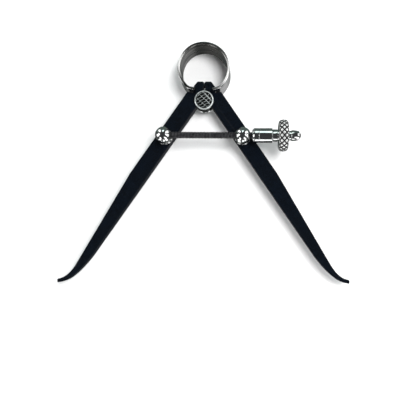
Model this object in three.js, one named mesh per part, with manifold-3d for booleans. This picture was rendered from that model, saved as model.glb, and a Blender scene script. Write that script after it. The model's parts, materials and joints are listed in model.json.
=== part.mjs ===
// A spring-type inside caliper, nominal 100 mm (4 inch) size, shown fully open.
// Two flat legs with out-turned toes roll on a fulcrum stud. A C-shaped bow spring pinches the leg
// heads together and so pushes the toes apart. A screw fixed in the left swivel post runs through
// the right one, and a nut on it draws the legs in against the spring.
//
// The tool lies flat. Millimetres, +Z up, +Y from the toes towards the bow spring, x = 0 on the
// centre line. The pieces are drawn about the fulcrum axis at the middle of the legs' thickness,
// and the whole group is then moved so that its box stands on z = 0 and is centred in x and y.

import * as THREE from "three";
import { mergeVertices } from "three/addons/utils/BufferGeometryUtils.js";
import Module from "manifold-3d";

const wasm = await Module();
wasm.setup();

// ---- driving dimensions -------------------------------------------------------------------------

const GAP = 0.15; // running clearance between neighbours

// legs, along = distance from the fulcrum down the leg, out = distance outwards from the pivot line
const HALF_ANGLE = (34.8 * Math.PI) / 180; // between a leg's inner edge and the centre line, open
const INNER_OUT = 1.25; // the inner edges stay this far off the pivot line, so closed legs clear
const LEG_WIDTH = 7.25;
const LEG_THICKNESS = 4;
const TAPER_START = 45;
const ANKLE_ALONG = 91;
const ANKLE_WIDTH = 3.9;
const ANKLE_PULL_OUTER = 5.5; // how far the straight outer edge leads on into the bend of the toe
const INNER_BEND_ALONG = 85;
const INNER_BEND_PULL = 14.5; // the inner edge leads on further than the outer one
const INNER_BEND_LEAN = 0.85; // and leans outwards by this much on the way
const TOE_THICKNESS = 2.6; // the leg thins towards the toe
const THINNING_START = 44;
const THINNING_END = 112;
const TIP_SPAN = 130; // toe to toe, fully open
const TOE_Y = -80.05; // height of the toe tips below the fulcrum
const TOE_WIDTH = 1.7;
const TOE_SLOPE = (14 * Math.PI) / 180; // the toe points outwards and this much down
const TOE_ROUNDING = 0.5;
const TOE_LEAD_OUTER = 3.2; // how far the toe's straight end reaches back into the bend
const TOE_LEAD_INNER = 3;

// leg heads, above the fulcrum
const SEAT_RADIUS = 3.1; // half-round seat that rolls on the stud
const HEAD_TOP = 8.6;
const HEAD_CHAMFER = 0.6; // at the heads' inner corners
const HEAD_HALF_WIDTH = 3.0;
const SHOULDER_X = 4.7;
const SHOULDER_Y = 6.5;
const HEAD_GAP = 0.12; // each head stops this far short of the centre line
const SLIT_HALF_WIDTH = 0.42; // relief between the heads just above the stud
const SLIT_TOP = 6.6;
const SLIT_TAPER = 0.3;
const NOTCH_HALF_WIDTH = 0.85; // across the notch that takes the spring's fork
const NOTCH_CLEARANCE = 0.25;

// fulcrum stud
const CORE_RADIUS = SEAT_RADIUS - GAP;
const FLANGE_RADIUS = 4.2;
const FLANGE_THICKNESS = 1.3;
const FLANGE_CHAMFER = 0.45;
const RIVET_RADIUS = 1.7;
const RIVET_HEAD_RADIUS = 2.5;
const RIVET_HEAD_HEIGHT = 0.45;

// bow spring: a strip on edge, bent into a C with forked ends
const BOW_CENTRE_Y = 13.4;
const BOW_RADIUS = 10.85; // to the middle of the strip
const STRIP_THICKNESS = 1.2;
const STRIP_WIDTH = 11;
const BOW_OPEN_ANGLE = (38 * Math.PI) / 180; // from straight down to where the strip straightens
const HOOK_LENGTH = 2.9;
const HOOK_SLOPE = (12 * Math.PI) / 180; // the straight end dips this much towards the centre line
const PRONG_LENGTH = 1.3; // how far the fork's prongs reach past the bottom of its slot

// swivel posts and their washers
const POST_ALONG = 23.05;
const POST_OUT = 4.9;
const BALL_RADIUS = 3.6;
const SCREW_HEIGHT = 6.0; // screw axis and ball centres above the legs' mid-plane
const POST_NECK_RADIUS = 2.3;
const SHANK_RADIUS = 1.6;
const FRONT_WASHER_RADIUS = 3.5;
const BACK_WASHER_RADIUS = 3.1;
const WASHER_THICKNESS = 0.6;
const WASHER_CHAMFER = 0.15;
const POST_HEAD_RADIUS = 2.2;
const POST_HEAD_HEIGHT = 0.6;

// adjusting screw, thrust sleeve and nut, all along the screw axis
const SCREW_RADIUS = 1.5;
const SCREW_SEAT_DEPTH = 2.0; // how far the screw reaches past the left ball's centre
const SCREW_TIP = 1.1; // length of the screw's rounded end
const SCREW_SHOWS = 0.85; // how far it stands out of the nut when the legs are fully open
const SLEEVE_START = 21.35;
const SLEEVE_LENGTH = 8.7;
const SLEEVE_RADIUS = 3.1;
const SLEEVE_CHAMFER = 0.3;
const SLEEVE_NOSE_RADIUS = 2.65;
const SLEEVE_NOSE_LENGTH = 0.9;
const COUNTERBORE_RADIUS = 2.2;
const COUNTERBORE_DEPTH = 3;
const NECK_RADIUS = 2.6;
const NECK_LENGTH = 2.5;
const NUT_NOSE_RADIUS = 2.0;
const WHEEL_RADIUS = 6.85;
const WHEEL_WIDTH = 4.1;
const WHEEL_CROWN = 1.3; // how much the rim falls away at its two sides
const CROWN_FULLNESS = 2.6; // the higher, the flatter the rim is in the middle
const HUB_COLLAR_RADIUS = 2.05; // the hub leaves the wheel as a collar and swells into a barrel
const HUB_COLLAR_LENGTH = 1.6;
const HUB_RADIUS = 2.35;
const HUB_MOUTH_RADIUS = 1.9;
const HUB_LENGTH = 4.8;
const HUB_FULLNESS = 2.4;

// facets round a full turn
const FINE = 48;
const MEDIUM = 36;
const COARSE = 24;

// ---- materials ------------------------------------------------------------------------------------

const blued = () => new THREE.MeshStandardMaterial({ color: 0x0b0d12, roughness: 0.45, metalness: 0.8 });
const plated = () => new THREE.MeshStandardMaterial({ color: 0xc9cbcd, roughness: 0.12, metalness: 1 });
const spring = () => new THREE.MeshStandardMaterial({ color: 0x9fa1a4, roughness: 0.22, metalness: 1 });
const blackened = () => new THREE.MeshStandardMaterial({ color: 0x17181b, roughness: 0.4, metalness: 0.9 });

// ---- solids ---------------------------------------------------------------------------------------

function toSolid(geometry) {
  const bare = geometry.clone();
  bare.deleteAttribute("normal");
  bare.deleteAttribute("uv");
  const merged = mergeVertices(bare, 1e-4);
  return new wasm.Manifold(
    new wasm.Mesh({
      numProp: 3,
      vertProperties: merged.attributes.position.array,
      triVerts: new Uint32Array(merged.index.array),
    }),
  );
}

function toGeometry(solid) {
  const mesh = solid.getMesh();
  const geometry = new THREE.BufferGeometry();
  geometry.setAttribute("position", new THREE.BufferAttribute(new Float32Array(mesh.vertProperties), 3));
  geometry.setIndex(new THREE.BufferAttribute(new Uint32Array(mesh.triVerts), 1));
  return geometry;
}

// a slab of the given outline, from z = low to z = high
function slab(shape, low, high, curveSegments = 16) {
  const geometry = new THREE.ExtrudeGeometry(shape, {
    depth: high - low,
    bevelEnabled: false,
    curveSegments,
  });
  return geometry.translate(0, 0, low);
}

// a turned piece about Z, from [radius, height] pairs that run upwards on the outside
function turned(profile, facets) {
  return new THREE.LatheGeometry(
    profile.map(([r, h]) => new THREE.Vector2(r, h)),
    facets,
  ).rotateX(Math.PI / 2);
}

// points of an arc in a turned profile, centred on the axis at height h and flattened along it
function profileArc(h, radius, from, to, steps, flattened = 1) {
  return Array.from({ length: steps + 1 }, (_, i) => {
    const a = from + ((to - from) * i) / steps;
    return [radius * Math.cos(a), h + flattened * radius * Math.sin(a)];
  });
}

// a turned piece laid along +X at the screw's height
function alongScrew(geometry) {
  return geometry.rotateY(Math.PI / 2);
}

const part = new THREE.Group();

function add(name, geometry, material, x = 0, y = 0, z = 0) {
  const mesh = new THREE.Mesh(geometry, material);
  mesh.name = name;
  mesh.position.set(x, y, z);
  part.add(mesh);
}

// ---- legs -----------------------------------------------------------------------------------------

const down = new THREE.Vector2(Math.sin(HALF_ANGLE), -Math.cos(HALF_ANGLE));
const outward = new THREE.Vector2(Math.cos(HALF_ANGLE), Math.sin(HALF_ANGLE));

// a point of the right leg from its distances along and out
function onLeg(along, out) {
  return down.clone().multiplyScalar(along).addScaledVector(outward, out);
}

const bottomTurn = BOW_OPEN_ANGLE - Math.PI / 2; // polar angle about the bow's centre
const bowEnd = new THREE.Vector2(
  BOW_RADIUS * Math.cos(bottomTurn),
  BOW_CENTRE_Y + BOW_RADIUS * Math.sin(bottomTurn),
);
const hookDirection = new THREE.Vector2(-Math.cos(HOOK_SLOPE), -Math.sin(HOOK_SLOPE));
const hookNormal = new THREE.Vector2(hookDirection.y, -hookDirection.x);
const hookTip = bowEnd.clone().addScaledVector(hookDirection, HOOK_LENGTH);
const forkBottom = hookTip.clone().addScaledVector(hookDirection, -PRONG_LENGTH);

// the right leg's outline, walked down the outer edge, round the toe, up the inner edge and round
// the seat to the head
function legOutline() {
  const outerEdge = INNER_OUT + LEG_WIDTH;
  const taper = (LEG_WIDTH - ANKLE_WIDTH) / (ANKLE_ALONG - TAPER_START);
  const toe = new THREE.Vector2(Math.cos(TOE_SLOPE), -Math.sin(TOE_SLOPE));
  const toeSide = new THREE.Vector2(-toe.y, toe.x);
  const tip = new THREE.Vector2(TIP_SPAN / 2, TOE_Y);
  const upper = tip.clone().addScaledVector(toeSide, TOE_WIDTH / 2);
  const lower = tip.clone().addScaledVector(toeSide, -TOE_WIDTH / 2);
  upper.x = tip.x - TOE_ROUNDING;
  lower.x = tip.x - TOE_ROUNDING;
  const flat = TOE_WIDTH / 2 - TOE_ROUNDING; // half of the toe's blunt end
  const outerAnkle = onLeg(ANKLE_ALONG, INNER_OUT + ANKLE_WIDTH);
  const outerPull = onLeg(
    ANKLE_ALONG + ANKLE_PULL_OUTER,
    INNER_OUT + ANKLE_WIDTH - ANKLE_PULL_OUTER * taper,
  );
  const outerLead = upper.clone().addScaledVector(toe, -TOE_LEAD_OUTER);
  const innerBend = onLeg(INNER_BEND_ALONG, INNER_OUT);
  const innerPull = onLeg(INNER_BEND_ALONG + INNER_BEND_PULL, INNER_OUT + INNER_BEND_LEAN);
  const innerLead = lower.clone().addScaledVector(toe, -TOE_LEAD_INNER);

  // the notch for the fork: its foot, and its lower side run out to the leg's outer edge
  const foot = forkBottom.clone().addScaledVector(hookDirection, NOTCH_CLEARANCE);
  const upperFoot = foot.clone().addScaledVector(hookNormal, NOTCH_HALF_WIDTH);
  const lowerFoot = foot.clone().addScaledVector(hookNormal, -NOTCH_HALF_WIDTH);
  const run = (outerEdge - lowerFoot.dot(outward)) / -hookDirection.dot(outward);
  const lowerMouth = lowerFoot.clone().addScaledVector(hookDirection, -run);

  const shape = new THREE.Shape();
  const to = (p) => shape.lineTo(p.x, p.y);
  shape.moveTo(HEAD_HALF_WIDTH, HEAD_TOP);
  shape.lineTo(SLIT_HALF_WIDTH + HEAD_GAP, HEAD_TOP);
  shape.lineTo(HEAD_GAP, HEAD_TOP - HEAD_CHAMFER);
  shape.lineTo(HEAD_GAP, SLIT_TOP);
  shape.lineTo(SLIT_HALF_WIDTH, SLIT_TOP - SLIT_TAPER);
  const seatTop = Math.acos(SLIT_HALF_WIDTH / SEAT_RADIUS);
  const seatFoot = -Math.acos(INNER_OUT / SEAT_RADIUS) + HALF_ANGLE;
  shape.lineTo(SEAT_RADIUS * Math.cos(seatTop), SEAT_RADIUS * Math.sin(seatTop));
  shape.absarc(0, 0, SEAT_RADIUS, seatTop, seatFoot, true);
  to(innerBend);
  shape.bezierCurveTo(innerPull.x, innerPull.y, innerLead.x, innerLead.y, lower.x, lower.y);
  shape.quadraticCurveTo(tip.x, lower.y, tip.x, tip.y - flat);
  shape.lineTo(tip.x, tip.y + flat);
  shape.quadraticCurveTo(tip.x, upper.y, upper.x, upper.y);
  shape.bezierCurveTo(outerLead.x, outerLead.y, outerPull.x, outerPull.y, outerAnkle.x, outerAnkle.y);
  to(onLeg(TAPER_START, outerEdge));
  to(lowerMouth);
  to(lowerFoot);
  to(upperFoot);
  shape.lineTo(SHOULDER_X, SHOULDER_Y);
  return shape;
}

function legSolid() {
  const half = LEG_THICKNESS / 2;
  let solid = toSolid(slab(legOutline(), -half, half, 20));

  // hole for the swivel post's shank
  const post = onLeg(POST_ALONG, POST_OUT);
  const hole = new THREE.CylinderGeometry(
    SHANK_RADIUS + GAP,
    SHANK_RADIUS + GAP,
    2 * LEG_THICKNESS,
    COARSE,
  ).rotateX(Math.PI / 2);
  solid = solid.subtract(toSolid(hole.translate(post.x, post.y, 0)));

  // both faces slope in from the shank to the toe
  const cutWidth = 8 * LEG_WIDTH;
  for (const side of [1, -1]) {
    const wedge = new THREE.Shape();
    wedge.moveTo(THINNING_START, side * half);
    wedge.lineTo(THINNING_END, (side * TOE_THICKNESS) / 2);
    wedge.lineTo(THINNING_END, side * LEG_THICKNESS);
    wedge.lineTo(THINNING_START, side * LEG_THICKNESS);
    const cutter = new THREE.ExtrudeGeometry(wedge, { depth: cutWidth, bevelEnabled: false });
    cutter.translate(0, 0, -cutWidth / 2);
    cutter.rotateX(Math.PI / 2); // now x runs along the leg, z across its thickness
    cutter.rotateZ(HALF_ANGLE - Math.PI / 2);
    solid = solid.subtract(toSolid(cutter));
  }
  return solid;
}

// the same solid on the other side of the centre line
function mirrored(solid) {
  return solid.mirror([1, 0, 0]);
}

const rightLeg = legSolid();
add("right_leg", toGeometry(rightLeg), blued());
add("left_leg", toGeometry(mirrored(rightLeg)), blued());

// ---- fulcrum stud and its back washer ---------------------------------------------------------------

const face = LEG_THICKNESS / 2 + GAP; // where a flange or washer meets the legs
const flangeTop = face + FLANGE_THICKNESS;
const washerBack = -face - FLANGE_THICKNESS;

add(
  "fulcrum_stud",
  turned(
    [
      [0, washerBack - GAP - RIVET_HEAD_HEIGHT],
      [RIVET_HEAD_RADIUS * 0.7, washerBack - GAP - RIVET_HEAD_HEIGHT],
      [RIVET_HEAD_RADIUS, washerBack - GAP],
      [RIVET_RADIUS, washerBack - GAP],
      [RIVET_RADIUS, -face + GAP],
      [CORE_RADIUS, -face + GAP],
      [CORE_RADIUS, face],
      [FLANGE_RADIUS, face],
      [FLANGE_RADIUS, flangeTop - FLANGE_CHAMFER],
      [FLANGE_RADIUS - FLANGE_CHAMFER, flangeTop],
      [0, flangeTop],
    ],
    FINE,
  ),
  plated(),
);

add(
  "fulcrum_back_washer",
  turned(
    [
      [RIVET_RADIUS + GAP, washerBack],
      [FLANGE_RADIUS - FLANGE_CHAMFER, washerBack],
      [FLANGE_RADIUS, washerBack + FLANGE_CHAMFER],
      [FLANGE_RADIUS, -face],
      [RIVET_RADIUS + GAP, -face],
      [RIVET_RADIUS + GAP, washerBack],
    ],
    FINE,
  ),
  plated(),
);

// ---- bow spring -------------------------------------------------------------------------------------

function bowSpring() {
  const t = STRIP_THICKNESS / 2;
  const start = bottomTurn;
  const finish = Math.PI - bottomTurn;
  const shape = new THREE.Shape();
  const end = (p, s, mirror) => {
    const q = p.clone().addScaledVector(hookNormal, s * t);
    return [mirror * q.x, q.y];
  };
  shape.moveTo(...end(hookTip, 1, 1));
  shape.absarc(0, BOW_CENTRE_Y, BOW_RADIUS - t, start, finish, false);
  shape.lineTo(...end(hookTip, 1, -1));
  shape.lineTo(...end(hookTip, -1, -1));
  shape.absarc(0, BOW_CENTRE_Y, BOW_RADIUS + t, finish, start, true);
  shape.lineTo(...end(hookTip, -1, 1));
  let solid = toSolid(slab(shape, -STRIP_WIDTH / 2, STRIP_WIDTH / 2, FINE));

  // a slot in each end straddles the leg's head
  const slot = LEG_THICKNESS / 2 + GAP;
  const past = hookTip.clone().addScaledVector(hookDirection, STRIP_THICKNESS);
  const corners = [
    forkBottom.clone().addScaledVector(hookNormal, STRIP_THICKNESS),
    forkBottom.clone().addScaledVector(hookNormal, -STRIP_THICKNESS),
    past.clone().addScaledVector(hookNormal, -STRIP_THICKNESS),
    past.clone().addScaledVector(hookNormal, STRIP_THICKNESS),
  ];
  const cutter = toSolid(slab(new THREE.Shape(corners), -slot, slot));
  solid = solid.subtract(cutter);
  return solid.subtract(mirrored(cutter));
}

add("bow_spring", toGeometry(bowSpring()), spring());

// ---- swivel posts -----------------------------------------------------------------------------------

const postAt = onLeg(POST_ALONG, POST_OUT);
const washerTop = face + WASHER_THICKNESS;

// a ball on a necked shank, peened over at the back
function postProfile() {
  const neckHeight = SCREW_HEIGHT - Math.sqrt(BALL_RADIUS ** 2 - POST_NECK_RADIUS ** 2);
  const startAngle = Math.asin((neckHeight - SCREW_HEIGHT) / BALL_RADIUS);
  const back = -face - WASHER_THICKNESS - GAP;
  return [
    [0, back - POST_HEAD_HEIGHT],
    [POST_HEAD_RADIUS * 0.65, back - POST_HEAD_HEIGHT],
    [POST_HEAD_RADIUS, back - POST_HEAD_HEIGHT * 0.4],
    [POST_HEAD_RADIUS, back],
    [SHANK_RADIUS, back],
    [SHANK_RADIUS, washerTop + GAP],
    [POST_NECK_RADIUS, washerTop + GAP],
    ...profileArc(SCREW_HEIGHT, BALL_RADIUS, startAngle, Math.PI / 2, 12).slice(0, -1),
    [0, SCREW_HEIGHT + BALL_RADIUS],
  ];
}

function bored(profileSolid, x, from, to) {
  const length = to - from;
  const drill = new THREE.CylinderGeometry(SCREW_RADIUS + GAP, SCREW_RADIUS + GAP, length, COARSE);
  drill.rotateZ(Math.PI / 2).translate((from + to) / 2 - x, 0, SCREW_HEIGHT);
  return profileSolid.subtract(toSolid(drill));
}

const postBody = toSolid(turned(postProfile(), MEDIUM));
const screwStart = -postAt.x - SCREW_SEAT_DEPTH;
add("left_post", toGeometry(bored(postBody, -postAt.x, screwStart - GAP, 0)), plated(), -postAt.x, postAt.y);
add("right_post", toGeometry(bored(postBody, postAt.x, 0, postAt.x + 10)), plated(), postAt.x, postAt.y);

function washer(radius, low, high) {
  const bore = SHANK_RADIUS + GAP;
  return turned(
    [
      [bore, low],
      [radius - WASHER_CHAMFER, low],
      [radius, low + WASHER_CHAMFER],
      [radius, high - WASHER_CHAMFER],
      [radius - WASHER_CHAMFER, high],
      [bore, high],
      [bore, low],
    ],
    MEDIUM,
  );
}

for (const [side, x] of [
  ["left", -postAt.x],
  ["right", postAt.x],
]) {
  add(`${side}_post_front_washer`, washer(FRONT_WASHER_RADIUS, face, washerTop), plated(), x, postAt.y);
  add(`${side}_post_back_washer`, washer(BACK_WASHER_RADIUS, -washerTop, -face), plated(), x, postAt.y);
}

// ---- adjusting screw, thrust sleeve and nut -----------------------------------------------------------

const nutStart = SLEEVE_START + SLEEVE_LENGTH - COUNTERBORE_DEPTH + GAP;
const wheelStart = COUNTERBORE_DEPTH + NECK_LENGTH; // along the nut
const wheelEnd = wheelStart + WHEEL_WIDTH;
const hubEnd = wheelEnd + HUB_LENGTH;
const screwLength = nutStart + hubEnd + SCREW_SHOWS - screwStart;
add(
  "adjusting_screw",
  alongScrew(
    turned(
      [
        [0, 0],
        [SCREW_RADIUS, 0],
        ...profileArc(
          screwLength - SCREW_TIP, SCREW_RADIUS, 0, Math.PI / 2, 5, SCREW_TIP / SCREW_RADIUS,
        ).slice(0, -1),
        [0, screwLength],
      ],
      COARSE,
    ),
  ),
  blackened(),
  screwStart,
  postAt.y,
  SCREW_HEIGHT,
);

const runBore = SCREW_RADIUS + GAP;
add(
  "thrust_sleeve",
  alongScrew(
    turned(
      [
        [runBore, 0],
        [SLEEVE_NOSE_RADIUS - SLEEVE_CHAMFER, 0],
        [SLEEVE_NOSE_RADIUS, SLEEVE_CHAMFER],
        [SLEEVE_RADIUS, SLEEVE_NOSE_LENGTH],
        [SLEEVE_RADIUS, SLEEVE_LENGTH - SLEEVE_CHAMFER],
        [SLEEVE_RADIUS - SLEEVE_CHAMFER, SLEEVE_LENGTH],
        [COUNTERBORE_RADIUS, SLEEVE_LENGTH],
        [COUNTERBORE_RADIUS, SLEEVE_LENGTH - COUNTERBORE_DEPTH],
        [runBore, SLEEVE_LENGTH - COUNTERBORE_DEPTH],
        [runBore, 0],
      ],
      MEDIUM,
    ),
  ),
  plated(),
  SLEEVE_START,
  postAt.y,
  SCREW_HEIGHT,
);

// the rim between the wheel's two faces, rounded off towards both
function crown(steps) {
  return Array.from({ length: steps + 1 }, (_, i) => {
    const share = i / steps;
    const fall = 1 - Math.sqrt(Math.max(0, 1 - Math.abs(2 * share - 1) ** CROWN_FULLNESS));
    return [WHEEL_RADIUS - WHEEL_CROWN * fall, wheelStart + share * WHEEL_WIDTH];
  });
}

// the barrel from its step at the collar to the mouth of the bore
function barrel(steps) {
  const start = wheelEnd + HUB_COLLAR_LENGTH;
  return Array.from({ length: steps + 1 }, (_, i) => {
    const share = i / steps;
    const fall = (HUB_RADIUS - HUB_MOUTH_RADIUS) * share ** HUB_FULLNESS;
    return [HUB_RADIUS - fall, start + share * (hubEnd - start)];
  });
}

// nose inside the sleeve, neck, crowned wheel and hub, all one turning
function nutProfile() {
  const shoulder = COUNTERBORE_DEPTH;
  return [
    [runBore, 0],
    [NUT_NOSE_RADIUS, 0],
    [NUT_NOSE_RADIUS, shoulder],
    [NECK_RADIUS, shoulder],
    [NECK_RADIUS, wheelStart],
    ...crown(8),
    [HUB_COLLAR_RADIUS, wheelEnd],
    [HUB_COLLAR_RADIUS, wheelEnd + HUB_COLLAR_LENGTH - (HUB_RADIUS - HUB_COLLAR_RADIUS)],
    ...barrel(6),
    [runBore, hubEnd],
    [runBore, 0],
  ];
}

add(
  "adjusting_nut",
  alongScrew(turned(nutProfile(), FINE)),
  plated(),
  nutStart,
  postAt.y,
  SCREW_HEIGHT,
);

// ---- the part's frame: box centred in x and y, lowest rim on z = 0 -----------------------------------

const bounds = new THREE.Box3().setFromObject(part);
part.position.set(0, -(bounds.min.y + bounds.max.y) / 2, STRIP_WIDTH / 2);

export default part;
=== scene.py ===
import json
import math

import bmesh
import bpy
from mathutils import Matrix, Vector


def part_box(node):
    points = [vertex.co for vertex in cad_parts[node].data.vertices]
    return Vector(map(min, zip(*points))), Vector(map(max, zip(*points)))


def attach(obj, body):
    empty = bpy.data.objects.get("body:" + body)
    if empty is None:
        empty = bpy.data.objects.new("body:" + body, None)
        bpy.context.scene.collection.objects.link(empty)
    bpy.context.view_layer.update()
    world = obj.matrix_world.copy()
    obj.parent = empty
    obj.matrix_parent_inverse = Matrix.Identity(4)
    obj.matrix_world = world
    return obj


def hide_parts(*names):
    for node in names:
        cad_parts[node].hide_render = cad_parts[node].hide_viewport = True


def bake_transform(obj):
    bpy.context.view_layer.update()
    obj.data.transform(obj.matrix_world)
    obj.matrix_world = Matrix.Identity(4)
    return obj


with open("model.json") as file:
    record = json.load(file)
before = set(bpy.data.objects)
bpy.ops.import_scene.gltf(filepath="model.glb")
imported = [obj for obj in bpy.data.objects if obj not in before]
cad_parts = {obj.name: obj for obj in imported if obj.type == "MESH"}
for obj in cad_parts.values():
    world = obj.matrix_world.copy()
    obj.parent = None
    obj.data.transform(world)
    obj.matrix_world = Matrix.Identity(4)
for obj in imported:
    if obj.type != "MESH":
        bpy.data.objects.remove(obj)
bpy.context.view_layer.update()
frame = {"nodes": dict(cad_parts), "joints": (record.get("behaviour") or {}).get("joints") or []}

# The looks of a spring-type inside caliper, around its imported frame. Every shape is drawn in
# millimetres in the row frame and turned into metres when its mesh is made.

MM = 0.001
TAU = 2 * math.pi
SIGN = {"left": -1, "right": 1}  # of X on each side
AXIS_X = Matrix.Rotation(math.pi / 2, 4, "Y")  # turns a piece drawn along Z so that it runs along +X
SHARP = math.radians(32)  # edges that turn further than this stay crisp
LEG_FLAT = math.radians(0.3)  # faces of a leg that turn less than this are one face
LEG_CORNER = math.radians(25)  # edges of a leg that turn further than this are rounded
MERGE = 0.002  # vertices closer than this are one, in millimetres


# ---- places from the frame -----------------------------------------------------------------------

def joint_point(name):
    """A joint's point in millimetres."""
    joint = next(j for j in frame["joints"] if j["name"] == name)
    return Vector(joint["pos_m"]) / MM


def node_box(name):
    """A CAD node's lowest and highest corners in millimetres."""
    low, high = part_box(name)
    return low / MM, high / MM


FULCRUM = joint_point("left_leg_hinge")
POSTS = {"left": joint_point("left_post_swivel"), "right": joint_point("right_post_swivel")}
SCREW_AXIS = joint_point("nut_spin")

# ---- sizes that the boxes don't give, in millimetres ---------------------------------------------

CLEARANCE = 0.15

LEG_THICKNESS = 4.0
LEG_EDGE = 0.32  # rounding of the legs' edges
HEAD_GAP = 0.12  # each head stops this far short of the centre line
HEAD_CLOSER = 0.1  # the rounded inner sides of the heads stand this much closer to it
HEAD_LEAST_GAP = 0.02  # but no closer than this
HEAD_START = 4.0  # from the fulcrum up to those sides

FLANGE_CHAMFER = 0.45
FLANGE_OVERHANG = 1.45  # of the stud's flange past its core
RIVET_RADIUS = 1.7
RIVET_LIP = 0.8  # how far the riveted end spreads past the shank
FACE_BORDER = 0.15  # smooth border round the tool marks on the stud's face
HATCHES = ((-36, 1.3, 0.1), (41, 1.9, 0.35))  # direction in degrees, spacing and phase of the marks
HATCH_WANDER = 0.12  # how much their spacing varies
HATCH_THINNESS = 20  # the more, the thinner the marks
HATCH_DEPTH = 0.07
HATCH_FADE = 0.3  # the marks run out over this width at the face's rim

STRIP_THICKNESS = 1.2
STRIP_EDGE = 0.4
BOW_OPEN_ANGLE = math.radians(38)
HOOK_LENGTH = 2.9
HOOK_SLOPE = math.radians(12)
BEND_TURN = math.radians(9)  # the bend into the hook starts this far before the end of the ring
BEND_LENGTH = 1.4  # and ends this far along the hook
PRONG_LENGTH = 1.3
FORK_CUT = 4.0  # length and width of what is cut out between the prongs
PAINTED_RIM_HIGHLIGHTS = ((170, 9), (-14, 4))  # direction in degrees and tightness of the painted highlights on the rim

BALL_RADIUS = 3.6
BALL_MOUTH = 0.28  # chamfer at the ball's bore
POST_NECK_RADIUS = 2.3
POST_NECK_SUNK = 1.35  # how far the neck reaches into the ball
SHANK_RADIUS = 1.6
PEEN_RADIUS = 2.2
PEEN_TOP_RADIUS = 1.45
PEEN_HEIGHT = 0.36

BORE_RADIUS = 1.65
THREAD_PITCH = 0.635
THREAD_DEPTH = 0.3
SCREW_CHAMFER = 0.4
SCREW_TIP = 1.1  # length of the screw's rounded end

SLEEVE_NOSE_RADIUS = 2.65
SLEEVE_NOSE_LENGTH = 0.9
SLEEVE_NOSE_CHAMFER = 0.25
SLEEVE_LINE = 2.9  # a fine turned line round the sleeve, this far from its nose
SLEEVE_LINE_DEPTH = 0.1
SLEEVE_LINE_REACH = 0.12  # to each side of the line's bottom
COUNTERBORE_RADIUS = 2.2
COUNTERBORE_DEPTH = 3.0

NUT_NOSE_RADIUS = 2.0
NECK_RADIUS = 2.6
NECK_LENGTH = 2.5
NECK_GROOVE_WIDTH = 0.45
NECK_GROOVE_SLOPE = 0.1
NECK_GROOVE_DEPTH = 0.22
WHEEL_WIDTH = 4.1
WHEEL_CROWN = 1.3
CROWN_FULLNESS = 2.6
HUB_COLLAR_RADIUS = 2.05
HUB_COLLAR_LENGTH = 1.6
HUB_RADIUS = 2.35
HUB_MOUTH_RADIUS = 1.9
HUB_FULLNESS = 2.4
KNURLS = 18  # diamonds round the wheel
KNURL_ROWS = 2  # diamonds across its rim
KNURL_STEPS = 10  # mesh steps along each diamond
KNURL_DEPTH = 0.3
KNURL_TOP = 0.8  # share of the way from groove to middle where a diamond's flat top starts
KNURL_FULLNESS = 1.6
KNURL_RUNOUT = 0.05  # share of the rim's width over which the knurl runs out at each end


# ---- mesh helpers --------------------------------------------------------------------------------

def object_from(name, data):
    """A new object in the scene from its mesh, camera or light."""
    item = bpy.data.objects.new(name, data)
    bpy.context.scene.collection.objects.link(item)
    return item


def mesh_object(name, vertices, faces, place=Matrix.Identity(4)):
    """A new piece from vertices in millimetres, placed by a matrix that is in millimetres too."""
    mesh = bpy.data.meshes.new(name)
    mesh.from_pydata([tuple((place @ Vector(v)) * MM) for v in vertices], [], faces)
    return object_from(name, mesh)


def tidy_mesh(piece):
    """Merges the vertices that meet, drops faces of no area and points every face outwards."""
    bm = bmesh.new()
    bm.from_mesh(piece.data)
    bmesh.ops.remove_doubles(bm, verts=bm.verts, dist=MERGE * MM)
    bmesh.ops.dissolve_degenerate(bm, edges=bm.edges, dist=MERGE * MM / 2)
    bmesh.ops.recalc_face_normals(bm, faces=bm.faces)
    bm.to_mesh(piece.data)
    bm.free()


def settle(piece):
    """Makes what the modifiers give the piece's own mesh."""
    graph = bpy.context.evaluated_depsgraph_get()
    mesh = bpy.data.meshes.new_from_object(piece.evaluated_get(graph))
    old = piece.data
    piece.modifiers.clear()
    piece.data = mesh
    bpy.data.meshes.remove(old)


def combine(piece, other, operation):
    """Cuts other out of the piece, or joins it on, and removes other."""
    modifier = piece.modifiers.new("combine", "BOOLEAN")
    modifier.operation = operation
    modifier.solver = "EXACT"
    modifier.object = other
    settle(piece)
    bpy.data.objects.remove(other)


def shade(piece, angle=SHARP):
    """Smooth shading with crisp edges where the surface turns, and flat faces kept flat."""
    bm = bmesh.new()
    bm.from_mesh(piece.data)
    for face in bm.faces:
        face.smooth = True
    for edge in bm.edges:
        edge.smooth = len(edge.link_faces) == 2 and edge.calc_face_angle() < angle
    bm.to_mesh(piece.data)
    bm.free()
    weighted = piece.modifiers.new("weighted", "WEIGHTED_NORMAL")
    weighted.keep_sharp = True
    settle(piece)


def mark(piece, name, values):
    """A number for each vertex, which the piece's material reads."""
    piece.data.attributes.new(name, "FLOAT", "POINT").data.foreach_set("value", values)


def finish_piece(piece, material, body, slot, *nodes):
    """Material, body, slot and the CAD nodes that the piece stands for. The slot is not used."""
    piece.data.materials.clear()
    piece.data.materials.append(material)
    if body:
        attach(piece, body)
    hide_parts(*nodes)


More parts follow.
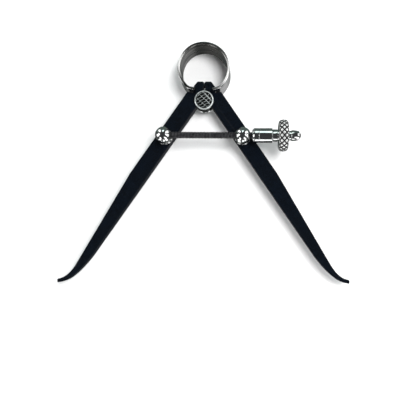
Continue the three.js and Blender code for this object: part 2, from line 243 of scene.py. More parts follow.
def filleted(corners, closed=False, steps=5):
    """A profile whose corners (r, h, radius) are rounded by their own radius. A corner with no radius
    stays sharp."""
    count = len(corners)
    longest = 0.48  # share of a side that one corner's rounding may take up
    points = []
    for i, corner in enumerate(corners):
        here = Vector(corner[:2])
        radius = corner[2] if len(corner) > 2 else 0
        if not radius or (not closed and i in (0, count - 1)):
            points.append(tuple(here))
            continue
        before = Vector(corners[i - 1][:2]) - here
        after = Vector(corners[(i + 1) % count][:2]) - here
        half = before.angle(after) / 2
        reach = min(radius / math.tan(half), longest * before.length, longest * after.length)
        radius = reach * math.tan(half)
        bisector = (before.normalized() + after.normalized()).normalized()
        middle = here + bisector * (radius / math.sin(half))
        start = (here + before.normalized() * reach - middle).normalized()
        end = (here + after.normalized() * reach - middle).normalized()
        points += [tuple(middle + start.slerp(end, k / steps) * radius) for k in range(steps + 1)]
    return points


def lathe(name, profile, sides, place, closed=False):
    """A turned piece about Z from (radius, height) points, open at the axis or closed on itself."""
    vertices = []
    for i in range(sides):
        c, s = math.cos(TAU * i / sides), math.sin(TAU * i / sides)
        vertices += [(r * c, r * s, h) for r, h in profile]
    count = len(profile)
    spans = count if closed else count - 1
    faces = []
    for i in range(sides):
        here, there = i * count, ((i + 1) % sides) * count
        for k in range(spans):
            n = (k + 1) % count
            faces.append((here + k, there + k, there + n, here + n))
    piece = mesh_object(name, vertices, faces, place)
    tidy_mesh(piece)
    return piece


def tube_faces(rings, count):
    """Squares between rings of count vertices each, and a face on each end."""
    faces = []
    for i in range(rings - 1):
        for k in range(count):
            n = (k + 1) % count
            faces.append((i * count + k, i * count + n, (i + 1) * count + n, (i + 1) * count + k))
    last = (rings - 1) * count
    faces.append(tuple(reversed(range(count))))
    faces.append(tuple(range(last, last + count)))
    return faces


def at(point, turn=Matrix.Identity(4)):
    """The matrix that puts a piece at a point in millimetres, turned first."""
    return Matrix.Translation(point) @ turn


def on_screw(x):
    """The same for a piece that is turned about the screw's axis and starts at x."""
    return at((x, SCREW_AXIS.y, SCREW_AXIS.z), AXIS_X)


# ---- material helpers ----------------------------------------------------------------------------

class Nodes:
    """A node tree under construction, with short ways to add what the looks and the room share."""

    def __init__(self, tree):
        self.tree = tree

    def feed(self, socket, value):
        """Links another node's output to a socket, or sets the socket to a value."""
        if isinstance(value, bpy.types.NodeSocket):
            self.tree.links.new(value, socket)
        elif socket.type == "RGBA":
            socket.default_value = (*value, 1)
        else:
            socket.default_value = value

    def add(self, kind, inputs, **settings):
        """A new node with its settings and then its inputs."""
        node = self.tree.nodes.new(kind)
        for key, value in settings.items():
            setattr(node, key, value)
        for key, value in inputs.items():
            self.feed(node.inputs[key], value)
        return node

    def maths(self, operation, *values):
        """An operation on numbers."""
        node = self.add("ShaderNodeMath", dict(enumerate(values)), operation=operation)
        return node.outputs["Value"]

    def vector_maths(self, operation, *values):
        """An operation on vectors whose result is a vector."""
        node = self.add("ShaderNodeVectorMath", dict(enumerate(values)), operation=operation)
        return node.outputs["Vector"]

    def fitted(self, value, low, high, to_low=0.0, to_high=1.0, interpolation="LINEAR"):
        """A value brought from one range to another, and held at its ends."""
        inputs = {"Value": value, "From Min": low, "From Max": high, "To Min": to_low, "To Max": to_high}
        node = self.add("ShaderNodeMapRange", inputs, interpolation_type=interpolation)
        return node.outputs["Result"]

    def mixed(self, factor, a, b):
        """Colour a where the factor is 0 and b where it is 1."""
        node = self.add("ShaderNodeMix", {"Factor": factor, "A": a, "B": b}, data_type="RGBA")
        return node.outputs["Result"]


class Look(Nodes):
    """A material under construction."""

    def __init__(self, name, coordinates="Object"):
        self.material = bpy.data.materials.new(name)
        self.material.use_nodes = True
        super().__init__(self.material.node_tree)
        self.shader = self.tree.nodes["Principled BSDF"]
        self.place = self.add("ShaderNodeTexCoord", {}).outputs[coordinates]

    def stretched(self, scale, turn=(0, 0, 0)):
        """The coordinates, turned and then scaled along each axis."""
        inputs = {"Vector": self.place, "Rotation": turn}
        turned = self.add("ShaderNodeMapping", inputs, vector_type="POINT")
        inputs = {"Vector": turned.outputs["Vector"], "Scale": scale}
        scaled = self.add("ShaderNodeMapping", inputs, vector_type="POINT")
        return scaled.outputs["Vector"]

    def noise(self, size, detail=3.0, rough=0.55, place=None):
        """Noise whose blobs are about size millimetres across."""
        inputs = {"Vector": place or self.place, "Scale": 1 / (size * MM)}
        inputs |= {"Detail": detail, "Roughness": rough}
        return self.add("ShaderNodeTexNoise", inputs).outputs["Fac"]

    def bump(self, height, depth, normal=None):
        """A bump of about depth millimetres, on top of another one if a normal is given."""
        inputs = {"Strength": 1.0, "Distance": depth * MM, "Height": height}
        if normal is not None:
            inputs["Normal"] = normal
        return self.add("ShaderNodeBump", inputs).outputs["Normal"]

    def attribute(self, name):
        """A number that mark() gave the mesh."""
        return self.add("ShaderNodeAttribute", {}, attribute_name=name).outputs["Fac"]

    def set(self, name, value):
        """Gives one of the shader's inputs a value or another node's output."""
        self.feed(self.shader.inputs[name], value)


# ---- materials -----------------------------------------------------------------------------------

def blued_steel():
    """Blued steel: nearly black with a cold tint, a fine speckled grain, and edges lightened partly as worn
    bare steel and partly as a painted highlight line.
    """
    look = Look("blued_steel")
    speckle = look.noise(0.36, 2.0)
    cloud = look.noise(5.0, 3.0)
    grain = look.noise(0.16, 4.0, 0.7)
    brushed = look.noise(1.0, 2.0, 0.5, look.stretched((0.12, 1.6, 1.0)))
    dark = look.mixed(look.fitted(speckle, 0.4, 0.72), (0.0003, 0.0004, 0.0006), (0.006, 0.0095, 0.016))
    tinted = look.mixed(look.fitted(cloud, 0.4, 0.7, 0.0, 0.55), dark, (0.002, 0.004, 0.008))
    worn = look.maths("MULTIPLY", look.attribute("edge"), look.fitted(grain, 0.45, 0.7))
    # the lighter edge colour is partly worn steel and partly a painted highlight line
    painted_highlight = look.maths("MULTIPLY", worn, 0.3)
    look.set("Base Color", look.mixed(painted_highlight, tinted, (0.12, 0.12, 0.125)))
    look.set("Metallic", look.fitted(worn, 0.0, 1.0, 0.0, 0.9))
    look.set("Specular IOR Level", 0.09)
    look.set("Roughness", look.fitted(grain, 0.3, 0.7, 0.34, 0.52))
    fine = look.bump(grain, 0.012)
    drawn = look.bump(brushed, 0.008, fine)
    look.set("Normal", look.bump(speckle, 0.02, drawn))
    return look.material


def plated(name, finish="polished"):
    """Bright nickel plate with faint smears, pin scratches and slight waviness from polishing. The stud's
    face is painted near black between its scored lines as painted shade, with the lines and the border round
    them painted pale as painted highlights, and the knurl's grooves are painted nearly black as painted
    shade."""
    look = Look(name)
    smear = look.noise(2.6, 4.0, 0.6)
    pits = look.noise(0.22, 2.0)
    scratch = look.noise(0.5, 2.0, 0.6, look.stretched((0.15, 3.0, 1.0), (0.0, 0.0, 0.7)))
    tone = look.mixed(look.fitted(smear, 0.35, 0.7), (0.60, 0.605, 0.60), (0.50, 0.51, 0.51))
    smooth, rough, scratch_depth = {
        "polished": (0.06, 0.15, 0.0015),
        "hatched": (0.2, 0.32, 0.008),
        "knurled": (0.2, 0.3, 0.002),
    }[finish]
    look.set("Metallic", 1.0)
    if finish == "knurled":
        # painted shade: the knurl's grooves are painted nearly black
        painted_groove_shade = look.fitted(look.attribute("groove"), 0.12, 0.5)
        tone = look.mixed(painted_groove_shade, (0.86, 0.86, 0.85), (0.008, 0.008, 0.009))
        look.set("Metallic", 0.6)
    if finish == "hatched":
        # painted shade and highlights: the face between the marks is painted near black, and the marks and
        # the border pale and less metallic
        broken = look.fitted(pits, 0.3, 0.6, 0.7, 1.0)
        scored = look.maths("MULTIPLY", look.attribute("groove"), broken)
        tone = look.mixed(scored, (0.03, 0.037, 0.035), (0.6, 0.64, 0.63))
        look.set("Metallic", look.fitted(scored, 0.0, 1.0, 1.0, 0.3))
    look.set("Base Color", tone)
    look.set("Roughness", look.fitted(smear, 0.3, 0.75, smooth, rough))
    polished = look.bump(smear, 0.008)
    pitted = look.bump(look.fitted(pits, 0.66, 0.8), 0.0015, polished)
    look.set("Normal", look.bump(scratch, scratch_depth, pitted))
    return look.material


def spring_steel():
    """Spring strip with lines drawn along its length. It is bright outside; its inner face and upper rim are
    painted grey as painted shade, and two stretches of the rim are painted bright as a painted highlight."""
    look = Look("spring_steel", "UV")
    lines = look.noise(0.3, 3.0, 0.6, look.stretched((0.04, 2.2, 1.0)))
    bands = look.noise(1.6, 2.0, 0.6, look.stretched((0.05, 1.0, 1.0)))
    haze = look.noise(3.0, 3.0, 0.6)
    bright = look.mixed(look.fitted(haze, 0.35, 0.7), (0.78, 0.78, 0.78), (0.64, 0.64, 0.65))
    grey = look.mixed(look.fitted(bands, 0.42, 0.6), (0.045, 0.048, 0.048), (0.27, 0.265, 0.255))
    # painted shade: the inner face and upper rim take the grey tone, and the outside keeps the bright one
    tone = look.mixed(look.attribute("inside"), bright, grey)
    drawn = look.mixed(look.fitted(lines, 0.55, 0.75, 0.0, 0.4), tone, (0.28, 0.28, 0.285))
    # painted highlight: two stretches of the upper rim are painted nearly white and less metallic
    painted_highlight = look.attribute("painted_highlight")
    look.set("Base Color", look.mixed(painted_highlight, drawn, (0.9, 0.9, 0.89)))
    look.set("Metallic", look.fitted(painted_highlight, 0.0, 1.0, 1.0, 0.4))
    look.set("Roughness", look.fitted(lines, 0.3, 0.7, 0.14, 0.28))
    look.set("Normal", look.bump(lines, 0.004, look.bump(haze, 0.01)))
    return look.material


def black_oxide():
    """Black oxide on the thread, worn to grey on the crests."""
    look = Look("black_oxide")
    patch = look.noise(1.2, 3.0)
    grain = look.noise(0.12, 3.0)
    crest = look.maths("MULTIPLY", look.attribute("crest"), look.fitted(patch, 0.35, 0.6))
    look.set("Base Color", look.mixed(crest, (0.012, 0.012, 0.014), (0.13, 0.13, 0.135)))
    look.set("Metallic", look.fitted(crest, 0.0, 1.0, 0.4, 0.95))
    look.set("Specular IOR Level", 0.25)
    look.set("Roughness", look.fitted(grain, 0.3, 0.7, 0.28, 0.46))
    look.set("Normal", look.bump(grain, 0.01))
    return look.material


def floor_look():
    """Plain pale board with a barely visible tooth."""
    look = Look("pale_floor")
    tooth = look.noise(0.8, 3.0)
    look.set("Base Color", look.mixed(look.fitted(tooth, 0.3, 0.7), (0.86, 0.86, 0.86), (0.88, 0.88, 0.88)))
    look.set("Roughness", look.fitted(tooth, 0.3, 0.7, 0.7, 0.85))
    look.set("Specular IOR Level", 0.1)
    look.set("Normal", look.bump(tooth, 0.01))
    return look.material


BLUED = blued_steel()
NICKEL = plated("nickel_plate")
HATCHED = plated("nickel_plate_face", "hatched")
KNURLED = plated("nickel_plate_knurl", "knurled")
SPRING = spring_steel()
OXIDE = black_oxide()


# ---- camera, floor and lights --------------------------------------------------------------------

def camera():
    """Looks straight down from above the right leg."""
    data = bpy.data.cameras.new("camera")
    data.sensor_width = 36
    data.lens = 37.9
    data.shift_x = -0.0863
    data.shift_y = 0.0536
    data.clip_start = 0.01
    item = object_from("camera", data)
    across, behind, height = 17.9, 57.3, 201.5  # from the middle line, from the fulcrum towards the toes, up
    item.location = Vector((across, FULCRUM.y - behind, height)) * MM
    item.rotation_euler = (0, 0, math.radians(0.3))
    bpy.context.scene.camera = item


WHITE = (3.0, 3.0, 3.0)
ROOM_ABOVE = (0.06, 0.062, 0.064)
ROOM_BELOW = (0.085, 0.095, 0.092)
ROOM_BLEND = 0.1  # sine of the elevation up and down to which the two mix
BACKDROP = (0.9, 0.9, 0.9)
RIPPLE_SCALE = 3.2
RIPPLE = (0.5, 0.5, 0.35)  # how far the ripple bends a direction along each axis
WINDOWS = (  # azimuth from +X, width, side blur, lowest and highest elevation in degrees, and radiance
    (95, 120, 4, -62, 28, (0.13, 0.17, 0.155)),
    (232, 80, 40, -88, -52, (0.18, 0.18, 0.175)),
    (5, 80, 40, -88, -52, (0.5, 0.5, 0.5)),
    (38, 23, 4, 2, 45, WHITE),
    (88, 22, 4, 31, 52, (2.2, 2.6, 2.55)),
    (133, 22, 4, 4, 44, WHITE),
    (184, 25, 4, 0, 47, WHITE),
    (234, 19, 4, -44, 32, WHITE),
    (274, 13, 4, -19, 12, WHITE),
    (303, 17, 4, -30, 45, WHITE),
    (355, 23, 4, 6, 58, WHITE),
)
SILL_BLUR = 4  # degrees by which a window's blur reaches past its lower and upper edges
BLUR_INSIDE = 0.75  # share of a blur's reach by which it also reaches inwards
FLOOR_REACH = 1500  # from the origin to the floor's edges, in millimetres


def floor():
    """A wide pale board under the tool. The plating mirrors the dark room and not the board."""
    size = FLOOR_REACH
    corners = [(-size, -size, 0), (size, -size, 0), (size, size, 0), (-size, size, 0)]
    board = mesh_object("floor", corners, [(0, 1, 2, 3)])
    board.data.materials.append(floor_look())
    board.visible_glossy = False


def window(room, height, level, azimuth, width, blur, low, high):
    """A mask that is 1 inside a window and 0 outside it. The height is a direction's sine of elevation,
    and level is the direction along the floor."""
    a = math.radians(azimuth)
    centre = (math.cos(a), math.sin(a), 0)
    facing = room.add("ShaderNodeVectorMath", {0: level, 1: centre}, operation="DOT_PRODUCT")
    outside = math.cos(math.radians(width / 2 + blur))
    inside = math.cos(math.radians(width / 2 - blur * BLUR_INSIDE))
    mask = room.fitted(facing.outputs["Value"], outside, inside, interpolation="SMOOTHSTEP")
    for edge, outwards in ((low, -1), (high, 1)):
        outside = math.sin(math.radians(edge + outwards * SILL_BLUR))
        inside = math.sin(math.radians(edge - outwards * SILL_BLUR * BLUR_INSIDE))
        fade = room.fitted(height, outside, inside, interpolation="SMOOTHSTEP")
        mask = room.maths("MULTIPLY", mask, fade)
    return mask


def surroundings():
    """A dark room with windows round the tool, some of them low, which light it and show in the
    plating with a slight ripple. The camera itself sees a plain backdrop."""
    world = bpy.data.worlds.new("studio")
    world.use_nodes = True
    room = Nodes(world.node_tree)
    straight = room.add("ShaderNodeTexCoord", {}).outputs["Generated"]
    ripple = room.add("ShaderNodeTexNoise", {"Vector": straight, "Scale": RIPPLE_SCALE, "Detail": 1.0})
    centred = room.vector_maths("SUBTRACT", ripple.outputs["Color"], (0.5, 0.5, 0.5))
    direction = room.vector_maths("ADD", straight, room.vector_maths("MULTIPLY", centred, RIPPLE))
    height = room.add("ShaderNodeSeparateXYZ", {0: direction}).outputs["Z"]
    level = room.vector_maths("NORMALIZE", room.vector_maths("MULTIPLY", direction, (1, 1, 0)))
    below = room.fitted(height, ROOM_BLEND, -ROOM_BLEND, interpolation="SMOOTHSTEP")
    colour = room.mixed(below, ROOM_ABOVE, ROOM_BELOW)
    for *where, radiance in WINDOWS:
        colour = room.mixed(window(room, height, level, *where), colour, radiance)
    seen = room.add("ShaderNodeLightPath", {}).outputs["Is Camera Ray"]
    colour = room.mixed(seen, colour, BACKDROP)
    room.feed(room.tree.nodes["Background"].inputs["Color"], colour)
    bpy.context.scene.world = world


def studio():
    """One big soft light from the upper right throws the shadows. The windows do the rest."""
    surroundings()
    bpy.context.scene.view_settings.view_transform = "Standard"
    data = bpy.data.lights.new("key", "AREA")
    data.size = 0.28
    data.energy = 3.75
    key = object_from("key", data)
    azimuth, elevation, distance = math.radians(22), math.radians(66), 0.6
    level = Vector((math.cos(azimuth), math.sin(azimuth), 0)) * math.cos(elevation)
    key.location = (level + Vector((0, 0, math.sin(elevation)))) * distance
    key.rotation_euler = key.location.to_track_quat("Z", "Y").to_euler()
    key.visible_camera = False
    key.visible_glossy = False


# ---- legs ----------------------------------------------------------------------------------------

def leg(side):
    """The CAD leg with every edge rounded inside its own box, and a mark on the rounded faces for worn edges
    and a painted highlight line along them."""
    node = f"{side}_leg"
    low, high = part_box(node)
    bm = bmesh.new()
    bm.from_mesh(frame["nodes"][node].data)
    bmesh.ops.remove_doubles(bm, verts=bm.verts, dist=LEG_EDGE / 2 * MM)
    bmesh.ops.dissolve_limit(bm, angle_limit=LEG_FLAT, verts=bm.verts, edges=bm.edges)
    corners = [e for e in bm.edges if len(e.link_faces) == 2 and e.calc_face_angle() > LEG_CORNER]
    rounded = bmesh.ops.bevel(
        bm, geom=corners, offset=LEG_EDGE * MM, offset_type="OFFSET", segments=4, profile=0.5,
        affect="EDGES", clamp_overlap=False, loop_slide=True,
    )
    inner_side = HEAD_GAP * MM + LEG_EDGE * MM * 0.7
    for vertex in bm.verts:
        x, y, _ = vertex.co
        if abs(x) < inner_side and y > (FULCRUM.y + HEAD_START) * MM:
            gap = max(HEAD_LEAST_GAP * MM, abs(x) - HEAD_CLOSER * MM)
            vertex.co.x = math.copysign(gap, x)
        else:
            vertex.co = [max(low[k], min(high[k], vertex.co[k])) for k in range(3)]
    edge = bm.verts.layers.float.new("edge")
    soft = set(rounded["faces"])
    for vertex in bm.verts:
        vertex[edge] = float(all(face in soft for face in vertex.link_faces))
    mesh = bpy.data.meshes.new(f"{side}_leg_body")
    bm.to_mesh(mesh)
    bm.free()
    piece = object_from(f"{side}_leg_body", mesh)
    shade(piece)
    finish_piece(piece, BLUED, f"{side}_arm", "blued_steel", node)


# ---- fulcrum stud and back washer ----------------------------------------------------------------

def hatch_height(x, y):
    """How deep the crossed tool marks are at a point of the stud's face, from 0 to 1."""
    depth = 0.0
    for angle, pitch, phase in HATCHES:
        a = math.radians(angle)
        across = (x * math.sin(a) + y * math.cos(a)) / pitch + phase
        across += HATCH_WANDER * math.sin(1.7 * x + 2.3 * y + angle)
        depth = max(depth, abs(math.sin(math.pi * across)) ** (HATCH_THINNESS * pitch ** 2))
    return depth


def fulcrum_stud():
    """Flange with a scored face, core and riveted end, turned in one piece. The face is a disc of rings
    so that the tool marks can be sunk into it."""
    low, high = node_box("fulcrum_stud")
    radius = (high.x - low.x) / 2
    core = radius - FLANGE_OVERHANG
    top = radius - FLANGE_CHAMFER
    rim = top - FACE_BORDER
    spread = RIVET_RADIUS + RIVET_LIP
    face = FULCRUM.z + LEG_THICKNESS / 2 + CLEARANCE
    back = node_box("fulcrum_back_washer")[0].z - CLEARANCE
    profile = filleted([
        (0, low.z),
        (RIVET_RADIUS, low.z, 0.5),
        (spread, low.z + 0.3, 0.3),
        (spread, back, 0.06),
        (RIVET_RADIUS, back),
        (RIVET_RADIUS, face - LEG_THICKNESS, 0.1),
        (core, face - LEG_THICKNESS, 0.1),
        (core, face),
        (radius, face, 0.12),
        (radius, high.z - FLANGE_CHAMFER, 0.14),
        (top, high.z, 0.12),
        (rim, high.z),
    ])
    rings = 28
    profile += [(rim * (1 - k / rings), high.z) for k in range(1, rings + 1)]
    piece = lathe("fulcrum_stud_body", profile, 96, at((FULCRUM.x, FULCRUM.y, 0)))
    grooves = []
    for vertex in piece.data.vertices:
        x, y, z = vertex.co / MM
        x, y = x - FULCRUM.x, y - FULCRUM.y
        out = math.hypot(x, y)
        groove = 1.0
        if z > high.z - 0.001 and out < rim + 0.01:
            groove = hatch_height(x, y) * max(0.0, min(1.0, (rim - out) / HATCH_FADE))
            vertex.co.z -= HATCH_DEPTH * MM * groove
        grooves.append(groove)
    mark(piece, "groove", grooves)
    shade(piece)
    finish_piece(piece, HATCHED, "fulcrum", "nickel_plate", "fulcrum_stud")
    piece.data.materials.append(NICKEL)
    for polygon in piece.data.polygons:
        polygon.material_index = int(polygon.center.z < (high.z - FLANGE_CHAMFER - 0.02) * MM)


def ring_washer(name, node, bore, body, chamfer):
    """A washer as large as its CAD node, with its outer edges rounded."""
    low, high = node_box(node)
    middle = (low + high) / 2
    radius = (high.x - low.x) / 2
    profile = filleted([
        (bore, low.z, 0.05),
        (radius, low.z, chamfer),
        (radius, high.z, chamfer),
        (bore, high.z, 0.05),
    ], closed=True)
    piece = lathe(name, profile, 72, at((middle.x, middle.y, 0)), closed=True)
    shade(piece)
    finish_piece(piece, NICKEL, body, "nickel_plate", node)


# ---- bow spring ----------------------------------------------------------------------------------

def strip_section():
    """The strip's section across its thickness and up its width, as a closed loop of points with
    rounded corners."""
    low, high = node_box("bow_spring")
    half, tall = STRIP_THICKNESS / 2, (high.z - low.z) / 2
    loop = filleted([
        (half, -tall, STRIP_EDGE),
        (half, tall, STRIP_EDGE),
        (-half, tall, STRIP_EDGE),
        (-half, -tall, STRIP_EDGE),
    ], closed=True, steps=4)
    spacing = 1.4
    full = []
    for here, there in zip(loop, loop[1:] + loop[:1]):
        full.append(here)
        run = (Vector(there) - Vector(here)).length
        parts = max(1, round(run / spacing))
        full += [tuple(Vector(here).lerp(Vector(there), k / parts)) for k in range(1, parts)]
    return full


def bow_path():
    """The strip's middle line for the right half, from the top of the ring to the fork's tip, with the
    corner where the ring's line meets the hook's and the hook's direction."""
    high = node_box("bow_spring")[1]
    radius = high.x - STRIP_THICKNESS / 2
    centre = Vector((FULCRUM.x, high.y - STRIP_THICKNESS / 2 - radius))
    foot = BOW_OPEN_ANGLE - math.pi / 2
    bend_start = foot + BEND_TURN
    steps = 150
    turns = [math.pi / 2 + (bend_start - math.pi / 2) * k / steps for k in range(steps + 1)]
    path = [centre + Vector((math.cos(a), math.sin(a))) * radius for a in turns]
    corner = centre + Vector((math.cos(foot), math.sin(foot))) * radius
    hook = Vector((-math.cos(HOOK_SLOPE), -math.sin(HOOK_SLOPE)))
    first, last = path[-1], corner + hook * BEND_LENGTH
    tangent = (path[-1] - path[-2]).normalized()
    reach = (last - first).length * 0.45
    for k in range(1, 13):
        t = k / 12
        a, b, c, d = first, first + tangent * reach, last - hook * reach, last
        path.append(a * (1 - t) ** 3 + b * 3 * t * (1 - t) ** 2 + c * 3 * t * t * (1 - t) + d * t ** 3)
    for k in range(1, 5):
        path.append(last.lerp(corner + hook * HOOK_LENGTH, k / 4))
    return path, corner, hook


def swept_strip(side, path):
    """The section swept along the path, with a UV map in metres along and round the strip."""
    sign = SIGN[side]
    section = strip_section()
    count = len(section)
    vertices, lengths = [], [0.0]
    for i, point in enumerate(path):
        along = (path[min(i + 1, len(path) - 1)] - path[max(i - 1, 0)]).normalized()
        if i == 0:
            along = Vector((1, 0))
        out = Vector((-along.y, along.x))
        for across, up in section:
            vertices.append((sign * (point.x + out.x * across), point.y + out.y * across, FULCRUM.z + up))
        if i:
            lengths.append(lengths[-1] + (point - path[i - 1]).length)
    piece = mesh_object(f"bow_spring_{side}_half", vertices, tube_faces(len(path), count))
    around = [0.0]
    for here, there in zip(section, section[1:] + section[:1]):
        around.append(around[-1] + (Vector(there) - Vector(here)).length)
    uv = piece.data.uv_layers.new(name="strip")
    for face in piece.data.polygons:
        places = [(loop, *divmod(piece.data.loops[loop].vertex_index, count)) for loop in face.loop_indices]
        closing = any(k == count - 1 for _, _, k in places)
        for loop, station, k in places:
            if k == 0 and closing:
                k = count
            uv.data[loop].uv = (lengths[station] * MM, around[k] * MM)
    tidy_mesh(piece)
    return piece


def fork_cutter(side, corner, hook):
    """What is cut out of the strip's end, so that it straddles the leg's head."""
    slot = LEG_THICKNESS / 2 + CLEARANCE
    foot = corner + hook * (HOOK_LENGTH - PRONG_LENGTH)
    side_way = Vector((hook.y, -hook.x)) * (FORK_CUT / 2)
    along = hook * FORK_CUT
    base = [foot - side_way, foot + side_way, foot + side_way + along, foot - side_way + along]
    box = [(SIGN[side] * p.x, p.y, FULCRUM.z + z) for z in (-slot, slot) for p in base]
    quads = [(0, 1, 2, 3), (7, 6, 5, 4), (0, 4, 5, 1), (1, 5, 6, 2), (2, 6, 7, 3), (3, 7, 4, 0)]
    cutter = mesh_object("fork_cutter", box, quads)
    tidy_mesh(cutter)
    return cutter


def bow_half(side):
    """One half of the spring, between the fulcrum and one leg. It marks the strip's inner face and upper
    rim, which the material paints grey as painted shade, and where the rim gets a painted highlight."""
    high = node_box("bow_spring")[1]
    path, corner, hook = bow_path()
    piece = swept_strip(side, path)
    combine(piece, fork_cutter(side, corner, hook), "DIFFERENCE")
    centre = Vector((FULCRUM.x, high.y - high.x)) * MM
    middle = (high.x - STRIP_THICKNESS / 2) * MM
    inside, painted_highlight = [], []
    for vertex in piece.data.vertices:
        way = vertex.co.to_2d() - centre
        turn = math.atan2(way.y, way.x)
        upper = vertex.co.z > (high.z - STRIP_EDGE * 0.1) * MM
        # the inner face and upper rim are marked for the material's painted grey shade
        inside.append(float(upper or way.length < middle - STRIP_THICKNESS / 4 * MM))
        # painted highlight on the upper rim, strongest towards the listed directions
        painted_highlight_strength = sum(max(0.0, math.cos(turn - math.radians(a))) ** tight for a, tight in PAINTED_RIM_HIGHLIGHTS)
        painted_highlight.append(min(1.0, painted_highlight_strength) if upper else 0.0)
    mark(piece, "inside", inside)
    mark(piece, "painted_highlight", painted_highlight)
    shade(piece)
    finish_piece(piece, SPRING, None, "spring_steel", "bow_spring")
    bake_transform(piece)


# ---- swivel posts --------------------------------------------------------------------------------

def ball_profile(through):
    """The ball about the screw's axis, bored through or from one side only."""
    mouth = BORE_RADIUS + BALL_MOUTH
    reach = math.sqrt(BALL_RADIUS ** 2 - mouth ** 2)
    open_angle = math.asin(mouth / BALL_RADIUS)
    steps = 56
    first = open_angle if through else 0.0
    arc = []
    for k in range(steps + 1):
        a = first + (math.pi - open_angle - first) * k / steps
        arc.append((BALL_RADIUS * math.sin(a), -BALL_RADIUS * math.cos(a)))
    if through:
        return [(BORE_RADIUS, BALL_MOUTH - reach), *arc, (BORE_RADIUS, reach - BALL_MOUTH)]
    bottom = node_box("adjusting_screw")[0].x - POSTS["left"].x - CLEARANCE
    return [*arc, (BORE_RADIUS, reach - BALL_MOUTH), (BORE_RADIUS, bottom), (0, bottom)]


def post(side):
    """A drilled ball on a necked shank that is peened over at the back."""
    node = f"{side}_post"
    x, y = POSTS[side].x, POSTS[side].y
    low = node_box(node)[0]
    front = node_box(f"{side}_post_front_washer")[1].z + CLEARANCE
    back = node_box(f"{side}_post_back_washer")[0].z - CLEARANCE
    height = SCREW_AXIS.z
    through = side == "right"
    centre = at((x, y, height), AXIS_X)
    ball = lathe(f"{side}_post_ball", ball_profile(through), 96, centre, closed=through)
    neck = height - BALL_RADIUS + POST_NECK_SUNK
    shank = filleted([
        (0, low.z),
        (PEEN_TOP_RADIUS, low.z, 0.4),
        (PEEN_RADIUS, low.z + PEEN_HEIGHT, 0.2),
        (PEEN_RADIUS, back, 0.05),
        (SHANK_RADIUS, back),
        (SHANK_RADIUS, front),
        (POST_NECK_RADIUS, front, 0.08),
        (POST_NECK_RADIUS, neck),
        (0, neck),
    ])
    stem = lathe("shank", shank, 72, at((x, y, 0)))
    combine(ball, stem, "UNION")
    shade(ball)
    finish_piece(ball, NICKEL, f"{side}_swivel", "nickel_plate", node)


# ---- adjusting screw, thrust sleeve and nut ------------------------------------------------------

def adjusting_screw():
    """The cross screw, threaded over its whole length, with a rounded tip."""
    low, high = node_box("adjusting_screw")
    radius, length = (high.y - low.y) / 2, high.x - low.x
    thread_end = length - SCREW_TIP
    per_turn, sides, tip_rings = 7, 28, 12
    threaded = round(thread_end / THREAD_PITCH * per_turn)
    stations = [thread_end * i / threaded for i in range(threaded)]
    stations += [length - SCREW_TIP * (1 - math.sin(math.pi / 2 * k / tip_rings)) for k in range(tip_rings)]
    vertices, crests = [], []
    for x in stations:
        past = max(0.0, x - thread_end) / SCREW_TIP
        room = (radius - max(0.0, SCREW_CHAMFER - x)) * math.sqrt(max(0.0, 1 - past ** 2))
        for j in range(sides):
            wave = 0.5 + 0.5 * math.cos(TAU * (x / THREAD_PITCH - j / sides))
            r = min(room, radius - THREAD_DEPTH * (1 - wave ** 0.8))
            a = TAU * j / sides
            vertices.append((r * math.cos(a), r * math.sin(a), x))
            crests.append(wave ** 3 if room > radius - THREAD_DEPTH else 0.0)
    faces = tube_faces(len(stations), sides)
    piece = mesh_object("adjusting_screw_thread", vertices, faces, on_screw(low.x))
    mark(piece, "crest", crests)
    shade(piece, math.radians(60))
    finish_piece(piece, OXIDE, "left_swivel", "black_oxide", "adjusting_screw")


def thrust_sleeve():
    """Sleeve with a chamfered nose, a fine turned line and a counterbore for the nut's nose."""
    low, high = node_box("thrust_sleeve")
    radius, length = (high.y - low.y) / 2, high.x - low.x
    chamfer = SLEEVE_NOSE_CHAMFER
    profile = filleted([
        (BORE_RADIUS, 0, 0.05),
        (SLEEVE_NOSE_RADIUS - chamfer, 0, 0.05),
        (SLEEVE_NOSE_RADIUS, chamfer, 0.1),
        (radius - 0.05, SLEEVE_NOSE_LENGTH - 0.1, 0.1),
        (radius, SLEEVE_NOSE_LENGTH + 0.25, 0.15),
        (radius, SLEEVE_LINE - SLEEVE_LINE_REACH, 0.03),
        (radius - SLEEVE_LINE_DEPTH, SLEEVE_LINE, 0.03),
        (radius, SLEEVE_LINE + SLEEVE_LINE_REACH, 0.03),
        (radius, length, 0.28),
        (COUNTERBORE_RADIUS, length, 0.08),
        (COUNTERBORE_RADIUS, length - COUNTERBORE_DEPTH),
        (BORE_RADIUS, length - COUNTERBORE_DEPTH),
    ], closed=True)
    piece = lathe("thrust_sleeve_body", profile, 96, on_screw(low.x), closed=True)
    shade(piece)
    finish_piece(piece, NICKEL, "right_swivel", "nickel_plate", "thrust_sleeve")


def knurl(turn, row):
    """How far the knurl stands proud, from 0 in a groove to 1 on a diamond's flat top, at a turn and a
    row that are both counted in diamonds."""
    a, b = (turn + row) % 1, (turn - row) % 1
    ridge = min(1.0, min(1 - abs(2 * a - 1), 1 - abs(2 * b - 1)) / KNURL_TOP)
    return 1 - (1 - ridge) ** KNURL_FULLNESS


def crease_faces(bm, height_at):
    """Splits the wheel's squares along the diagonal that the knurl's creases follow."""
    for face in [f for f in bm.faces if len(f.verts) == 4]:
        heights = [height_at(v.co) for v in face.verts]
        if any(h is None for h in heights):
            continue
        middle = height_at(face.calc_center_median())
        first = abs((heights[0] + heights[2]) / 2 - middle)
        second = abs((heights[1] + heights[3]) / 2 - middle)
        ends = (face.verts[0], face.verts[2]) if first < second else (face.verts[1], face.verts[3])
        bmesh.utils.face_split(face, *ends)


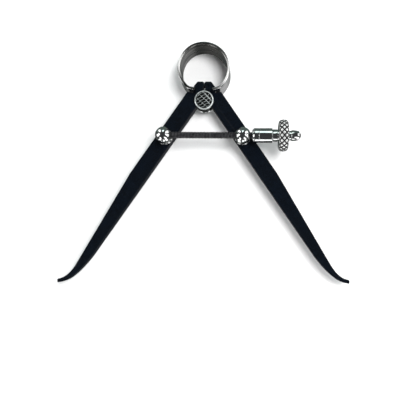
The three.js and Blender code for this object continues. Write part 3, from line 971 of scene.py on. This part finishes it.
def rim_profile(radius, start):
    """The wheel's crowned rim, with stations closer together at both ends."""
    rows = KNURL_ROWS * KNURL_STEPS
    shares = [k / rows for k in range(rows + 1)]
    shares[1:1] = [0.006, 0.016, 0.028]
    shares[-1:-1] = [0.972, 0.984, 0.994]
    rim = []
    for share in shares:
        fall = WHEEL_CROWN * (1 - math.sqrt(max(0.0, 1 - abs(2 * share - 1) ** CROWN_FULLNESS)))
        rim.append((radius - fall, start + share * WHEEL_WIDTH))
    return rim


def barrel_profile(start, end):
    """The hub's outline, which narrows to its mouth."""
    steps = 14
    barrel = []
    for k in range(steps + 1):
        share = k / steps
        fall = (HUB_RADIUS - HUB_MOUTH_RADIUS) * share ** HUB_FULLNESS
        barrel.append((HUB_RADIUS - fall, start + share * (end - start)))
    return barrel


def nut_profile(shoulder, wheel_start, hub_end, wheel_radius):
    """The whole nut from its nose to its mouth."""
    wheel_end = wheel_start + WHEEL_WIDTH
    barrel_start = wheel_end + HUB_COLLAR_LENGTH
    groove_start = wheel_start - NECK_GROOVE_WIDTH
    groove_radius = NECK_RADIUS - NECK_GROOVE_DEPTH
    rim = rim_profile(wheel_radius, wheel_start)
    barrel = barrel_profile(barrel_start, hub_end)
    before = filleted([
        (BORE_RADIUS, 0),
        (NUT_NOSE_RADIUS, 0, 0.1),
        (NUT_NOSE_RADIUS, shoulder),
        (NECK_RADIUS, shoulder, 0.15),
        (NECK_RADIUS, groove_start - NECK_GROOVE_SLOPE, 0.06),
        (groove_radius, groove_start, 0.06),
        (groove_radius, wheel_start, 0.12),
        rim[0],
    ])[:-1]
    after = filleted([
        rim[-1],
        (HUB_COLLAR_RADIUS, wheel_end, 0.2),
        (HUB_COLLAR_RADIUS, barrel_start - 0.3, 0.15),
        (HUB_RADIUS, barrel_start, 0.3),
        barrel[1],
    ])[1:-1]
    mouth = filleted([
        barrel[-2],
        (*barrel[-1], 0.12),
        (BORE_RADIUS, hub_end, 0.1),
        (BORE_RADIUS, hub_end - 1),
    ])[1:-1]
    return [*before, *rim, *after, *barrel[1:-1], *mouth]


def adjusting_nut():
    """Nose, neck, knurled wheel and barrel-shaped hub, turned from one bar. The knurl is cut into the
    turned rim."""
    low, high = node_box("adjusting_nut")
    wheel_radius = (high.y - low.y) / 2
    shoulder = node_box("thrust_sleeve")[1].x + CLEARANCE - low.x
    wheel_start = shoulder + NECK_LENGTH
    profile = nut_profile(shoulder, wheel_start, high.x - low.x, wheel_radius)
    piece = lathe("adjusting_nut_body", profile, KNURLS * KNURL_STEPS, on_screw(low.x), closed=True)
    start = low.x + wheel_start

    def proud(point):
        """The knurl's height at a point in metres, or None off the rim."""
        x, y, z = point / MM
        y, z = y - SCREW_AXIS.y, z - SCREW_AXIS.z
        share = (x - start) / WHEEL_WIDTH
        if math.hypot(y, z) < wheel_radius - WHEEL_CROWN - 0.05 or not -0.001 < share < 1.001:
            return None
        full = min(1.0, min(share, 1 - share) / KNURL_RUNOUT)
        return 1 - (1 - knurl(math.atan2(z, y) / TAU * KNURLS, share * KNURL_ROWS)) * full

    bm = bmesh.new()
    bm.from_mesh(piece.data)
    crease_faces(bm, proud)
    grooves = []
    for vertex in bm.verts:
        height = proud(vertex.co)
        if height is None:
            grooves.append(0.0)
            continue
        grooves.append(1 - height)
        centre = Vector((vertex.co.x, SCREW_AXIS.y * MM, SCREW_AXIS.z * MM))
        spoke = vertex.co - centre
        vertex.co = centre + spoke * (1 - KNURL_DEPTH * MM * (1 - height) / spoke.length)
    bm.to_mesh(piece.data)
    bm.free()
    mark(piece, "groove", grooves)
    shade(piece, math.radians(34))
    finish_piece(piece, KNURLED, "nut", "nickel_plate", "adjusting_nut")
    piece.data.materials.append(NICKEL)
    for face in piece.data.polygons:
        face.material_index = int(proud(face.center) is None)


# ---- the scene -----------------------------------------------------------------------------------

camera()
floor()
studio()
fulcrum_stud()
ring_washer("fulcrum_back_washer_body", "fulcrum_back_washer", RIVET_RADIUS + CLEARANCE, "fulcrum", 0.4)
for side in ("left", "right"):
    leg(side)
    bow_half(side)
    post(side)
    for place in ("front", "back"):
        node = f"{side}_post_{place}_washer"
        ring_washer(f"{node}_body", node, SHANK_RADIUS + CLEARANCE, f"{side}_swivel", 0.14)
adjusting_screw()
thrust_sleeve()
adjusting_nut()
